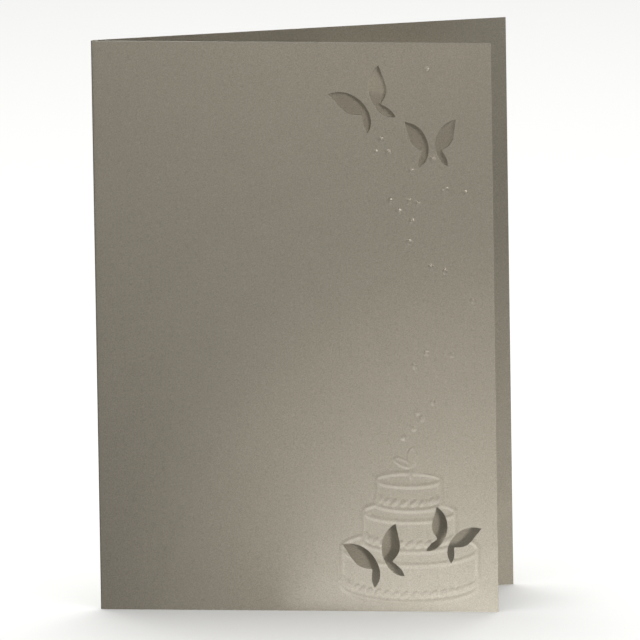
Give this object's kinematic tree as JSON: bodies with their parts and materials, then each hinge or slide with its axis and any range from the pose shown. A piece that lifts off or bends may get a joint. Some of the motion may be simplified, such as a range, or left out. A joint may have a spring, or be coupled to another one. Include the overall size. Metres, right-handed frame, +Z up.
{
  "type": "greeting card",
  "caption": "Upright folded greeting card of pearl card, standing open in a narrow V, with die-cut butterflies and a blind-embossed tiered cake on its front leaf.",
  "frame": {"origin": "middle of the card's box on the surface that it stands on", "axes": "+Z up along the fold, +X from the fold to the open side, -Y out of the front leaf"},
  "size_m": [0.126, 0.0314, 0.178],
  "materials": {
    "pearl_card": "pearlescent, fine mica grain"
  },
  "bodies": {
    "root": {"folded_card": "pearl_card"}
  },
  "joints": []
}
